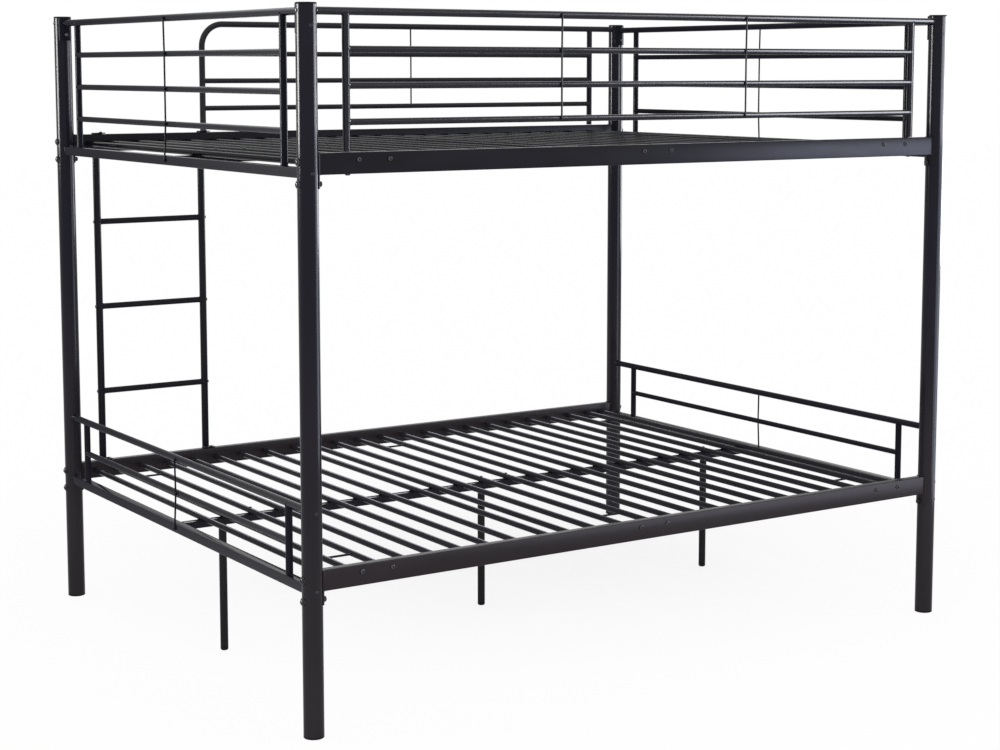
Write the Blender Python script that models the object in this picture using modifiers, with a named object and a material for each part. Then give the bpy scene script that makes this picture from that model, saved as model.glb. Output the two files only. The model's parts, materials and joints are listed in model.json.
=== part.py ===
"""Two-level bunk bed of black steel tube, bolted together.

Metres, +Z up. X runs along the bed and Y across it. The front is the -Y side. The ladder stands on the
+Y side near the -X end. The origin is on the floor, midway between the four posts.
"""

import math

import bmesh
import bpy
from mathutils import Matrix, Vector

# Overall frame
POST_PITCH_ALONG = 2.049
POST_PITCH_ACROSS = 1.564
POST_DIAMETER = 0.051
POST_WALL = 0.0015
BED_HEIGHT = 1.765
CLEARANCE = 0.0003

# Push-in caps and glides of the posts
CAP_FLANGE = 0.004
CAP_EDGE_RADIUS = 0.002
CAP_PLUG = 0.014

# Side rails, rectangular tube with a curved plate at each end
RAIL_DEPTH = 0.025
RAIL_HEIGHT = 0.0525
RAIL_EDGE_RADIUS = 0.002
UPPER_RAIL_DROP = 0.35
LOWER_RAIL_TOP = 0.4135
SADDLE_HEIGHT = 0.085
SADDLE_THICKNESS = 0.003
SADDLE_HALF_ANGLE = math.radians(40)

# Bolts that hold a side rail to its posts
BOLT_DIAMETER = 0.008
BOLT_HEAD_DIAMETER = 0.014
BOLT_HEAD_HEIGHT = 0.0035
WASHER_DIAMETER = 0.02
WASHER_THICKNESS = 0.0025
NUT_DIAMETER = 0.013
NUT_THICKNESS = 0.006
HIGH_BOLT_DROP = 0.022
LOW_BOLT_EDGE = 0.0105
BOLT_BITE = 0.02
BOLT_TIP = 0.002

# Barred end panels
END_TOP_DIAMETER = 0.019
END_UPRIGHT_DIAMETER = 0.0186
BAR_DIAMETER = 0.016
END_UPRIGHT_INSET = 0.12
END_RAIL_SIDE = 0.025
END_RAIL_DROP = 0.0485
UPPER_END_TOP_DROP = 0.02
UPPER_END_BAR_SHARES = (0.75, 0.503, 0.256)
LOWER_END_RISE = 0.1425
LOWER_END_BAR_SHARES = (0.503,)
END_TAB_HEIGHT = 0.068
END_TAB_RISE = 0.0165
TIE_WIRE_DIAMETER = 0.005
UPPER_END_WIRE = 0.014
LOWER_END_WIRE = -0.006

# Guard rails of the upper bed
GUARD_TOP_DIAMETER = 0.019
GUARD_UPRIGHT_DIAMETER = 0.0186
FRONT_GUARD_DROP = 0.0195
FRONT_GUARD_BAR_SHARES = (0.732, 0.472, 0.212)
FRONT_UPRIGHT_INSET = 0.1045
FRONT_WIRE_SHARES = (-0.2977, 0.2918)
BACK_GUARD_DROP = 0.016
BACK_GUARD_BAR_SHARES = (0.7245, 0.473, 0.2185)
BACK_GUARD_START_INSET = 0.4505
BACK_GUARD_END_INSET = 0.1155
BACK_GUARD_BEND = 0.07
BACK_WIRE_SHARE = 0.1816

# Slatted bases
SLAT_DIAMETER = 0.016
SLATS_EACH_WAY = 11
MIDDLE_SLAT_PLACE = 0.044
OUTER_SLAT_INSET = 0.1305
END_SLAT_INSET = 0.0675
SLAT_SOCKET = 0.01
STRAY_SLAT = 3
STRAY_SLAT_SHIFT = 0.019
BEAM_WIDTH = 0.025
BEAM_HEIGHT = 0.02
BEAM_DROP = 0.036
SLAT_WELD = 0.001
FRAME_TIE_DIAMETER = 0.006
FRAME_TIE_INSET = 0.187

# Legs under the lower beam
LEG_DIAMETER = 0.022
LEG_WALL = 0.0015
LEG_GLIDE_HEIGHT = 0.012
LEG_GLIDE_EDGE_RADIUS = 0.005

# Ladder on the back of the bed
LADDER_TUBE_DIAMETER = 0.022
RUNG_DIAMETER = 0.018
LADDER_LEFT_INSET = 0.1055
LADDER_RIGHT_INSET = 0.4515
RUNG_SHARES = (0.7315, 0.471, 0.2085)
HOOK_WIDTH = 0.044
HOOK_THICKNESS = 0.003
HOOK_SKIRT = 0.035
LADDER_RISE = 0.002
LADDER_FOOT_DROP = 0.042

# Making
WELD = 0.0007
OVERRUN = 0.01
MERGE_DISTANCE = 0.00001
POST_SIDES = 24
BOLT_SIDES = 8
WASHER_SIDES = 12
NUT_SIDES = 6
TUBE_STEPS = 3
SLAT_STEPS = 2
WIRE_STEPS = 1
BEND_STEPS = 6
ROUNDING_STEPS = 2
SMOOTH_ANGLE = math.radians(35)
QUARTER_TURN = math.pi / 2
HALF_TURN = math.pi

# Places that follow from the sizes above
UPPER_RAIL_TOP = BED_HEIGHT - UPPER_RAIL_DROP
UPPER_END_TOP = BED_HEIGHT - UPPER_END_TOP_DROP
LOWER_END_TOP = LOWER_RAIL_TOP + LOWER_END_RISE
FRONT_GUARD_RISE = UPPER_RAIL_DROP - FRONT_GUARD_DROP
BACK_GUARD_RISE = UPPER_RAIL_DROP - BACK_GUARD_DROP
POST_X = POST_PITCH_ALONG / 2
POST_Y = POST_PITCH_ACROSS / 2
POST_RADIUS = POST_DIAMETER / 2
SADDLE_RADIUS = POST_RADIUS + CLEARANCE + SADDLE_THICKNESS
RAIL_INNER_Y = POST_Y - RAIL_DEPTH / 2
RAIL_OUTER_Y = POST_Y + RAIL_DEPTH / 2
LOW_BOLT_DROP = SADDLE_HEIGHT - LOW_BOLT_EDGE
END_UPRIGHT_PLACE = POST_Y - END_UPRIGHT_INSET
FRONT_UPRIGHT_PLACE = POST_X - FRONT_UPRIGHT_INSET
BACK_GUARD_START = BACK_GUARD_START_INSET - POST_X
BACK_GUARD_END = POST_X - BACK_GUARD_END_INSET
OUTER_SLAT_PLACE = POST_X - OUTER_SLAT_INSET
END_SLAT_PLACE = POST_X - END_SLAT_INSET
SLAT_PITCH = (OUTER_SLAT_PLACE - MIDDLE_SLAT_PLACE) / (SLATS_EACH_WAY - 1)
FRAME_TIE_PLACE = POST_Y - FRAME_TIE_INSET
LEG_PLACES = (-OUTER_SLAT_PLACE, -MIDDLE_SLAT_PLACE, OUTER_SLAT_PLACE - SLAT_PITCH)
LADDER_LEFT = LADDER_LEFT_INSET - POST_X
LADDER_RIGHT = LADDER_RIGHT_INSET - POST_X
LADDER_Y = RAIL_OUTER_Y + CLEARANCE + HOOK_THICKNESS + LADDER_TUBE_DIAMETER / 2 - WELD
LADDER_FOOT = LOWER_RAIL_TOP - LADDER_FOOT_DROP
SLAT_LIFT = SLAT_DIAMETER / 2 - SLAT_WELD

SIDES = {"left": -1, "right": 1}
FACES = {"front": -1, "back": 1}
LEVELS = {"upper": UPPER_RAIL_TOP, "lower": LOWER_RAIL_TOP}


def clear_scene():
    for old in list(bpy.data.objects):
        bpy.data.objects.remove(old, do_unlink=True)


def new_collection(name):
    made = bpy.data.collections.new(name)
    bpy.context.scene.collection.children.link(made)
    return made


def new_group(name, place):
    """An empty that the pieces of one assembly hang from."""
    group = bpy.data.objects.new(name, None)
    group.location = place
    bed.objects.link(group)
    return group


def new_finish(name, colour, roughness, metallic):
    finish = bpy.data.materials.new(name)
    finish.use_nodes = True
    shader = finish.node_tree.nodes["Principled BSDF"]
    shader.inputs["Base Color"].default_value = (*colour, 1)
    shader.inputs["Roughness"].default_value = roughness
    shader.inputs["Metallic"].default_value = metallic
    return finish


# Working objects
def working_object(shape):
    """An unnamed object from a bmesh, which it frees."""
    mesh = bpy.data.meshes.new("work")
    shape.to_mesh(mesh)
    shape.free()
    made = bpy.data.objects.new("work", mesh)
    bpy.context.scene.collection.objects.link(made)
    return made


def evaluated_mesh(source):
    graph = bpy.context.evaluated_depsgraph_get()
    return bpy.data.meshes.new_from_object(source.evaluated_get(graph))


def baked(body):
    """The same object with its modifiers applied."""
    body.data = evaluated_mesh(body)
    body.modifiers.clear()
    return body


def solid_curve(guide):
    """A closed mesh object in place of a curve object, which it removes."""
    bpy.context.scene.collection.objects.link(guide)
    shape = bmesh.new()
    shape.from_mesh(evaluated_mesh(guide))
    bmesh.ops.remove_doubles(shape, verts=shape.verts, dist=MERGE_DISTANCE)
    bmesh.ops.recalc_face_normals(shape, faces=shape.faces)
    made = working_object(shape)
    made.matrix_world = guide.matrix_world
    bpy.data.objects.remove(guide, do_unlink=True)
    return made


def block(low, high):
    """A box between two corners."""
    low, high = Vector(low), Vector(high)
    shape = bmesh.new()
    place = Matrix.Translation((low + high) / 2) @ Matrix.Diagonal((*(high - low), 1))
    bmesh.ops.create_cube(shape, size=1, matrix=place)
    return working_object(shape)


def rounded_block(low, high):
    """A box with the rounded edges of rectangular tube."""
    made = block(low, high)
    rounding = made.modifiers.new("rounding", "BEVEL")
    rounding.width = RAIL_EDGE_RADIUS
    rounding.segments = ROUNDING_STEPS
    return baked(made)


def drums(spans, radius, sides):
    """Solid round bars with flat ends, one for each pair of end points."""
    shape = bmesh.new()
    for start, end in spans:
        start, end = Vector(start), Vector(end)
        turn = (end - start).to_track_quat("Z", "Y").to_matrix().to_4x4()
        bmesh.ops.create_cone(
            shape,
            cap_ends=True,
            segments=sides,
            radius1=radius,
            radius2=radius,
            depth=(end - start).length,
            matrix=Matrix.Translation((start + end) / 2) @ turn,
        )
    return working_object(shape)


def drum(start, end, radius, sides):
    return drums([(start, end)], radius, sides)


def tube(points, diameter, steps=TUBE_STEPS):
    """A round bar that follows the points."""
    path = bpy.data.curves.new("path", "CURVE")
    path.dimensions = "3D"
    path.bevel_depth = diameter / 2
    path.bevel_resolution = steps
    path.use_fill_caps = True
    spline = path.splines.new("POLY")
    spline.points.add(len(points) - 1)
    for spot, point in zip(spline.points, points):
        spot.co = (*point, 1)
    return solid_curve(bpy.data.objects.new("path", path))


def folded_plate(outline, width):
    """A plate of one section in Y and Z, as wide as given along X."""
    section = bpy.data.curves.new("section", "CURVE")
    section.dimensions = "2D"
    section.fill_mode = "BOTH"
    section.extrude = width / 2
    spline = section.splines.new("POLY")
    spline.points.add(len(outline) - 1)
    spline.use_cyclic_u = True
    for spot, (across, up) in zip(spline.points, outline):
        spot.co = (across, up, 0, 1)
    guide = bpy.data.objects.new("section", section)
    guide.matrix_world = Matrix.Rotation(QUARTER_TURN, 4, "Z") @ Matrix.Rotation(QUARTER_TURN, 4, "X")
    return solid_curve(guide)


def turned(profile, sides):
    """A solid of revolution about Z. The profile starts and ends on the axis and runs top to bottom."""
    shape = bmesh.new()
    verts = [shape.verts.new((radius, 0, height)) for radius, height in profile]
    for first, second in zip(verts, verts[1:]):
        shape.edges.new((first, second))
    made = working_object(shape)
    spin = made.modifiers.new("spin", "SCREW")
    spin.steps = sides
    spin.render_steps = sides
    spin.use_merge_vertices = True
    spin.merge_threshold = MERGE_DISTANCE
    return baked(made)


def quarter_round(centre_radius, centre_height, rounding, start_angle):
    """Points of a quarter round in a turned profile, clockwise from the start angle."""
    angles = [start_angle - QUARTER_TURN * step / ROUNDING_STEPS for step in range(ROUNDING_STEPS + 1)]
    return [
        (centre_radius + rounding * math.cos(angle), centre_height + rounding * math.sin(angle))
        for angle in angles
    ]


def combined(operation, body, others):
    """The body after a Boolean with each of the others, which are used up."""
    for other in others:
        step = body.modifiers.new("step", "BOOLEAN")
        step.operation = operation
        step.solver = "EXACT"
        step.object = other
    baked(body)
    for other in others:
        bpy.data.objects.remove(other, do_unlink=True)
    return body


def joined(pieces):
    """One closed body made of pieces that run into each other."""
    return combined("UNION", pieces[0], pieces[1:])


def finished(name, body, finish):
    """The mesh of a working object, smooth where it is round, with its finish."""
    mesh = body.data
    bpy.data.objects.remove(body, do_unlink=True)
    mesh.name = name
    mesh.materials.clear()
    mesh.materials.append(finish)
    mesh.shade_smooth()
    mesh.set_sharp_from_angle(angle=SMOOTH_ANGLE)
    return mesh


def place_part(name, mesh, group, place, rotation=(0, 0, 0), cut_by=()):
    """A named piece of the bed, with its own origin at the place given in the bed's frame."""
    part = bpy.data.objects.new(name, mesh)
    part.parent = group
    part.location = Vector(place) - group.location
    part.rotation_euler = rotation
    bed.objects.link(part)
    for cutter in cut_by:
        cut = part.modifiers.new(cutter.name, "BOOLEAN")
        cut.operation = "DIFFERENCE"
        cut.solver = "EXACT"
        cut.object = cutter
    return part


def make_cutter(name, body):
    body.name = name
    body.hide_render = True
    body.display_type = "WIRE"
    bpy.context.scene.collection.objects.unlink(body)
    cutters.objects.link(body)
    return body


# Places shared by several assemblies
def corners():
    """Name and centre line of each post, as (side, face, x, y)."""
    return [
        (side, face, SIDES[side] * POST_X, FACES[face] * POST_Y)
        for side in SIDES
        for face in FACES
    ]


def post_spans():
    """A line along each post that runs past both of its ends."""
    return [((x, y, -OVERRUN), (x, y, BED_HEIGHT + OVERRUN)) for side, face, x, y in corners()]


def slat_places(level):
    """X of the slats that push into sockets in the rails, from -X to +X."""
    paired = (0, SLATS_EACH_WAY - 2, SLATS_EACH_WAY - 1)
    steps = [step for step in range(SLATS_EACH_WAY) if step not in paired]
    right = [MIDDLE_SLAT_PLACE + SLAT_PITCH * step for step in steps] + [END_SLAT_PLACE]
    places = [-place for place in reversed(right)] + right
    if level == "lower":
        stray = places.index(-(MIDDLE_SLAT_PLACE + SLAT_PITCH * STRAY_SLAT))
        places[stray] += STRAY_SLAT_SHIFT
    return places


def bolt_line(low_bolt):
    """X of a rail bolt's head seat and of its tip, from the post's centre line outwards."""
    seat = POST_RADIUS + WASHER_THICKNESS
    if low_bolt:
        return seat, -(SADDLE_RADIUS + CLEARANCE + NUT_THICKNESS + BOLT_TIP)
    return seat, -(SADDLE_RADIUS + BOLT_BITE)


def bolt_heights(rail_top):
    return {"high": rail_top - HIGH_BOLT_DROP, "low": rail_top - LOW_BOLT_DROP}


# Cutters
def make_bolt_clearance():
    """Holes for the rail bolts, through the posts and the saddle plates and into the rails."""
    spans = []
    for rail_top in LEVELS.values():
        for side, face, x, y in corners():
            for kind, height in bolt_heights(rail_top).items():
                seat, tip = bolt_line(kind == "low")
                start = x + SIDES[side] * (seat + CLEARANCE)
                end = x + SIDES[side] * (tip - CLEARANCE)
                spans.append(((start, y, height), (end, y, height)))
    return make_cutter("bolt_clearance", drums(spans, BOLT_DIAMETER / 2 + CLEARANCE, BOLT_SIDES))


def make_slat_sockets():
    """Holes in the inner faces of the side rails that the slats push into."""
    spans = []
    for level, rail_top in LEVELS.items():
        height = rail_top - BEAM_DROP + SLAT_LIFT
        for way in FACES.values():
            start = way * (RAIL_INNER_Y - OVERRUN)
            end = way * (RAIL_INNER_Y + SLAT_SOCKET + CLEARANCE)
            spans += [((place, start, height), (place, end, height)) for place in slat_places(level)]
    return make_cutter("slat_sockets", drums(spans, SLAT_DIAMETER / 2 + CLEARANCE, BOLT_SIDES))


# Posts with their caps and glides
def cap_profile():
    """Half section of a push-in cap, with its flat face at height zero and its plug below."""
    plug = POST_RADIUS - POST_WALL - CLEARANCE
    rim = quarter_round(POST_RADIUS - CAP_EDGE_RADIUS, -CAP_EDGE_RADIUS, CAP_EDGE_RADIUS, QUARTER_TURN)
    lower = [(POST_RADIUS, -CAP_FLANGE), (plug, -CAP_FLANGE), (plug, -CAP_PLUG), (0, -CAP_PLUG)]
    return [(0, 0)] + rim + lower


def make_posts():
    end = CAP_FLANGE + CLEARANCE
    bar = drum((0, 0, end), (0, 0, BED_HEIGHT - end), POST_RADIUS, POST_SIDES)
    post = finished("post", bar, post_coat)
    cap = finished("post_cap", turned(cap_profile(), POST_SIDES), cap_plastic)
    glide = finished("foot_glide", turned(cap_profile(), POST_SIDES), glide_plastic)
    for side, face, x, y in corners():
        place_part(f"post_{face}_{side}", post, posts, (x, y, 0), cut_by=(post_bores, bolt_clearance))
        place_part(f"post_cap_{face}_{side}", cap, posts, (x, y, BED_HEIGHT))
        place_part(f"foot_glide_{face}_{side}", glide, posts, (x, y, 0), rotation=(HALF_TURN, 0, 0))


# Side rails
def saddle(side):
    """The curved plate that wraps part of a post, before the post's room is cut out of it."""
    x = side * POST_X
    wrap = drum((x, 0, -SADDLE_HEIGHT), (x, 0, 0), SADDLE_RADIUS, POST_SIDES)
    near, far = SADDLE_RADIUS * math.cos(SADDLE_HALF_ANGLE), SADDLE_RADIUS + OVERRUN
    ends = sorted((x - side * near, x - side * far))
    keep = block(
        (ends[0], -SADDLE_RADIUS, -SADDLE_HEIGHT - OVERRUN),
        (ends[1], SADDLE_RADIUS, OVERRUN),
    )
    return combined("INTERSECT", wrap, [keep])


def make_side_rails():
    bar = rounded_block((-POST_X, -RAIL_DEPTH / 2, -RAIL_HEIGHT), (POST_X, RAIL_DEPTH / 2, -WELD))
    rail = finished("side_rail", joined([bar] + [saddle(side) for side in SIDES.values()]), rail_coat)
    for level, rail_top in LEVELS.items():
        for face, way in FACES.items():
            place_part(
                f"{level}_rail_{face}",
                rail,
                levels[level],
                (0, way * POST_Y, rail_top),
                cut_by=(post_clearance, bolt_clearance, slat_sockets),
            )


# Rail bolts
def rail_bolt(low_bolt):
    """A bolt along X with its curved washer seated on a post whose centre line is at zero."""
    seat, tip = bolt_line(low_bolt)
    washer = drum((POST_RADIUS / 2, 0, 0), (seat, 0, 0), WASHER_DIAMETER / 2, WASHER_SIDES)
    room = drum((0, 0, -OVERRUN * 2), (0, 0, OVERRUN * 2), POST_RADIUS + CLEARANCE, POST_SIDES)
    pieces = [
        combined("DIFFERENCE", washer, [room]),
        drum((tip, 0, 0), (seat - WELD, 0, 0), BOLT_DIAMETER / 2, BOLT_SIDES),
        drum((seat - WELD, 0, 0), (seat + BOLT_HEAD_HEIGHT, 0, 0), BOLT_HEAD_DIAMETER / 2, WASHER_SIDES),
    ]
    if low_bolt:
        outer = tip + BOLT_TIP
        pieces.append(drum((outer, 0, 0), (outer + NUT_THICKNESS, 0, 0), NUT_DIAMETER / 2, NUT_SIDES))
    return joined(pieces)


def make_rail_bolts():
    meshes = {
        kind: finished(f"rail_bolt_{kind}", rail_bolt(kind == "low"), bolt_steel) for kind in ("high", "low")
    }
    for level, rail_top in LEVELS.items():
        for side, face, x, y in corners():
            turn = 0 if SIDES[side] > 0 else HALF_TURN
            for kind, height in bolt_heights(rail_top).items():
                name = f"{level}_rail_bolt_{face}_{side}_{kind}"
                place_part(name, meshes[kind], levels[level], (x, y, height), rotation=(0, 0, turn))


# Barred end panels
def tie_wire(points):
    """A thin wire welded to the outer sides of the bars."""
    return tube(points, TIE_WIRE_DIAMETER, WIRE_STEPS)


def wire_offset(diameter):
    """How far the wire's centre line stands off the centre line of a bar that it is welded to."""
    return diameter / 2 + TIE_WIRE_DIAMETER / 2 - WELD


def end_tab(way, top):
    """Curved plate under the end of an upper top rail, where its screw goes in."""
    y = way * POST_Y
    wrap = drum((0, y, top - END_TAB_HEIGHT), (0, y, top), SADDLE_RADIUS, POST_SIDES)
    near, far = SADDLE_RADIUS * math.cos(SADDLE_HALF_ANGLE), SADDLE_RADIUS + OVERRUN
    ends = sorted((y - way * near, y - way * far))
    keep = block(
        (-SADDLE_RADIUS, ends[0], top - END_TAB_HEIGHT - OVERRUN),
        (SADDLE_RADIUS, ends[1], top + OVERRUN),
    )
    return combined("INTERSECT", wrap, [keep])


def make_end_panel(level, side, top, bar_shares, wire_place):
    """The panel's own origin is on the centre line of its square bottom rail."""
    floor = LEVELS[level] - END_RAIL_DROP
    half = END_RAIL_SIDE / 2
    out = SIDES[side]
    rise = top - floor
    bar_heights = [rise * share for share in bar_shares]

    def crossbar(reach, height, diameter):
        return tube([(0, -reach, height), (0, reach, height)], diameter)

    pieces = [
        rounded_block((-half, -POST_Y, -half), (half, POST_Y, half)),
        crossbar(POST_Y, rise, END_TOP_DIAMETER),
    ]
    for place in (-END_UPRIGHT_PLACE, END_UPRIGHT_PLACE):
        pieces.append(tube([(0, place, 0), (0, place, rise)], END_UPRIGHT_DIAMETER))
    for height in bar_heights:
        pieces.append(crossbar(END_UPRIGHT_PLACE, height, BAR_DIAMETER))
    wire = [(out * wire_offset(END_TOP_DIAMETER), wire_place, rise)]
    wire += [(out * wire_offset(BAR_DIAMETER), wire_place, height) for height in bar_heights]
    wire += [(out * wire_offset(END_RAIL_SIDE), wire_place, 0)]
    pieces.append(tie_wire(wire))
    if level == "upper":
        pieces += [end_tab(way, rise + END_TAB_RISE) for way in (-1, 1)]
    name = f"{level}_end_panel_{side}"
    panel = finished(name, joined(pieces), panel_coat)
    place_part(name, panel, levels[level], (out * POST_X, 0, floor), cut_by=(post_clearance,))


def make_end_panels():
    for side in SIDES:
        make_end_panel("upper", side, UPPER_END_TOP, UPPER_END_BAR_SHARES, UPPER_END_WIRE)
        make_end_panel("lower", side, LOWER_END_TOP, LOWER_END_BAR_SHARES, LOWER_END_WIRE)


# Guard rails of the upper bed, with their own origins on top of the side rails
def guard_bars(rise, bar_shares, start, end):
    heights = [rise * share for share in bar_shares]
    return [tube([(start, 0, height), (end, 0, height)], BAR_DIAMETER) for height in heights]


def guard_wire(out, place, rise, bar_shares):
    wire = [(place, out * wire_offset(GUARD_TOP_DIAMETER), rise)]
    wire += [(place, out * wire_offset(BAR_DIAMETER), rise * share) for share in bar_shares]
    return tie_wire(wire)


def place_guard(face, pieces):
    name = f"guard_{face}"
    guard = finished(name, joined(pieces), guard_coat)
    middle = (0, FACES[face] * POST_Y, UPPER_RAIL_TOP)
    place_part(name, guard, levels["upper"], middle, cut_by=(post_clearance,))


def make_front_guard():
    rise, shares = FRONT_GUARD_RISE, FRONT_GUARD_BAR_SHARES
    out = FACES["front"]
    pieces = [tube([(-POST_X, 0, rise), (POST_X, 0, rise)], GUARD_TOP_DIAMETER)]
    for place in (-FRONT_UPRIGHT_PLACE, FRONT_UPRIGHT_PLACE):
        pieces.append(tube([(place, 0, CLEARANCE), (place, 0, rise)], GUARD_UPRIGHT_DIAMETER))
    pieces += guard_bars(rise, shares, -FRONT_UPRIGHT_PLACE, FRONT_UPRIGHT_PLACE)
    pieces += [guard_wire(out, POST_X * share, rise, shares) for share in FRONT_WIRE_SHARES]
    place_guard("front", pieces)


def bent_leg(rise):
    """Path of the back guard's leg, up from the ladder's hook plate and round a bend into the top rail."""
    points = [(BACK_GUARD_START, 0, HOOK_THICKNESS + 2 * CLEARANCE)]
    for step in range(BEND_STEPS + 1):
        angle = QUARTER_TURN * step / BEND_STEPS
        x = BACK_GUARD_START + BACK_GUARD_BEND * (1 - math.cos(angle))
        z = rise - BACK_GUARD_BEND * (1 - math.sin(angle))
        points.append((x, 0, z))
    return points


def make_back_guard():
    rise, shares = BACK_GUARD_RISE, BACK_GUARD_BAR_SHARES
    pieces = [tube(bent_leg(rise) + [(POST_X, 0, rise)], GUARD_TOP_DIAMETER)]
    pieces += guard_bars(rise, shares, BACK_GUARD_START, BACK_GUARD_END)
    upright = [(BACK_GUARD_END, 0, CLEARANCE), (BACK_GUARD_END, 0, rise)]
    pieces.append(tube(upright, GUARD_UPRIGHT_DIAMETER))
    pieces.append(guard_wire(FACES["back"], POST_X * BACK_WIRE_SHARE, rise, shares))
    place_guard("back", pieces)


# Slatted bases
def slat(place, end, height):
    return tube([(place, -end, height), (place, end, height)], SLAT_DIAMETER, SLAT_STEPS)


def make_slat_deck(level):
    """The centre beam with the single slats welded across it. Their ends push into the side rails."""
    reach = POST_X - END_RAIL_SIDE / 2 - CLEARANCE
    beam = rounded_block((-reach, -BEAM_WIDTH / 2, -BEAM_HEIGHT), (reach, BEAM_WIDTH / 2, 0))
    slats = [slat(place, RAIL_INNER_Y + SLAT_SOCKET, SLAT_LIFT) for place in slat_places(level)]
    name = f"{level}_slat_deck"
    deck = finished(name, joined([beam] + slats), slat_coat)
    place_part(name, deck, levels[level], (0, 0, LEVELS[level] - BEAM_DROP))


def cross_frame(pitch):
    """Two slats held together by two thin ties. They rest on the beam and meet the side rails end on."""
    places = (-pitch / 2, pitch / 2)
    ties = [
        tube([(place, way * FRAME_TIE_PLACE, 0) for place in places], FRAME_TIE_DIAMETER, WIRE_STEPS)
        for way in (-1, 1)
    ]
    slats = [slat(place, RAIL_INNER_Y - CLEARANCE, 0) for place in places]
    return joined([ties[0], *slats, ties[1]])


def make_cross_frames():
    middle = finished("middle_cross_frame", cross_frame(2 * MIDDLE_SLAT_PLACE), slat_coat)
    outer = finished("outer_cross_frame", cross_frame(SLAT_PITCH), slat_coat)
    outer_place = OUTER_SLAT_PLACE - SLAT_PITCH / 2
    places = {"left": (outer, -outer_place), "middle": (middle, 0), "right": (outer, outer_place)}
    for level, rail_top in LEVELS.items():
        height = rail_top - BEAM_DROP + CLEARANCE + SLAT_DIAMETER / 2
        for name, (mesh, place) in places.items():
            place_part(f"{level}_cross_frame_{name}", mesh, levels[level], (place, 0, height))


# Legs under the lower beam
def leg_glide_profile():
    radius = LEG_DIAMETER / 2
    plug = radius - LEG_WALL - CLEARANCE
    rim = quarter_round(radius - LEG_GLIDE_EDGE_RADIUS, LEG_GLIDE_EDGE_RADIUS, LEG_GLIDE_EDGE_RADIUS, 0)
    top = LEG_GLIDE_HEIGHT + CAP_PLUG
    return [(0, top), (plug, top), (plug, LEG_GLIDE_HEIGHT), (radius, LEG_GLIDE_HEIGHT)] + rim + [(0, 0)]


def make_legs():
    top = LOWER_RAIL_TOP - BEAM_DROP - BEAM_HEIGHT - CLEARANCE
    foot = LEG_GLIDE_HEIGHT + CLEARANCE
    spans = [((place, 0, -OVERRUN), (place, 0, top + OVERRUN)) for place in LEG_PLACES]
    leg_bores = make_cutter("leg_bores", drums(spans, LEG_DIAMETER / 2 - LEG_WALL, WASHER_SIDES))
    leg = finished("support_leg", drum((0, 0, foot), (0, 0, top), LEG_DIAMETER / 2, WASHER_SIDES), leg_coat)
    glide = finished("leg_glide", turned(leg_glide_profile(), WASHER_SIDES), glide_plastic)
    for name, place in zip(("left", "middle", "right"), LEG_PLACES):
        place_part(f"support_leg_{name}", leg, levels["lower"], (place, 0, 0), cut_by=(leg_bores,))
        place_part(f"leg_glide_{name}", glide, levels["lower"], (place, 0, 0))


# Ladder. An upright's own origin is at its foot.
def hook(rail_top):
    """Angle plate that hangs the ladder on the top edge of a back rail."""
    face = RAIL_OUTER_Y + CLEARANCE - LADDER_Y
    inner = RAIL_INNER_Y - LADDER_Y
    seat = rail_top + CLEARANCE - LADDER_FOOT
    outline = (
        (inner, seat),
        (face, seat),
        (face, seat - HOOK_SKIRT),
        (face + HOOK_THICKNESS, seat - HOOK_SKIRT),
        (face + HOOK_THICKNESS, seat + HOOK_THICKNESS),
        (inner, seat + HOOK_THICKNESS),
    )
    return folded_plate(outline, HOOK_WIDTH)


def make_ladder():
    top = UPPER_RAIL_TOP + LADDER_RISE - LADDER_FOOT
    pieces = [tube([(0, 0, 0), (0, 0, top)], LADDER_TUBE_DIAMETER)]
    pieces += [hook(rail_top) for rail_top in LEVELS.values()]
    upright = finished("ladder_upright", joined(pieces), ladder_coat)
    for name, place in (("left", LADDER_LEFT), ("right", LADDER_RIGHT)):
        place_part(f"ladder_upright_{name}", upright, ladder, (place, LADDER_Y, LADDER_FOOT))
    spans = [
        ((place, LADDER_Y, LADDER_FOOT), (place, LADDER_Y, UPPER_RAIL_TOP))
        for place in (LADDER_LEFT, LADDER_RIGHT)
    ]
    room = make_cutter("ladder_clearance", drums(spans, LADDER_TUBE_DIAMETER / 2 + CLEARANCE, POST_SIDES))
    half = (LADDER_RIGHT - LADDER_LEFT) / 2
    rung = finished("ladder_rung", tube([(-half, 0, 0), (half, 0, 0)], RUNG_DIAMETER), ladder_coat)
    for name, share in zip(("top", "middle", "bottom"), RUNG_SHARES):
        height = LOWER_RAIL_TOP + (UPPER_RAIL_TOP - LOWER_RAIL_TOP) * share
        middle = (LADDER_LEFT + half, LADDER_Y, height)
        place_part(f"ladder_rung_{name}", rung, ladder, middle, cut_by=(room,))


clear_scene()
bed = new_collection("bunk_bed")
cutters = new_collection("cutters")

post_coat = new_finish("post_coat", (0.012, 0.012, 0.015), 0.18, 0)
rail_coat = new_finish("rail_coat", (0.014, 0.013, 0.014), 0.22, 0)
panel_coat = new_finish("panel_coat", (0.013, 0.013, 0.016), 0.22, 0)
guard_coat = new_finish("guard_coat", (0.012, 0.012, 0.015), 0.22, 0)
slat_coat = new_finish("slat_coat", (0.011, 0.011, 0.013), 0.25, 0)
leg_coat = new_finish("leg_coat", (0.012, 0.012, 0.014), 0.25, 0)
ladder_coat = new_finish("ladder_coat", (0.012, 0.012, 0.015), 0.22, 0)
bolt_steel = new_finish("bolt_steel", (0.02, 0.02, 0.022), 0.35, 0.8)
cap_plastic = new_finish("cap_plastic", (0.015, 0.015, 0.016), 0.35, 0)
glide_plastic = new_finish("glide_plastic", (0.013, 0.013, 0.014), 0.45, 0)

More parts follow.
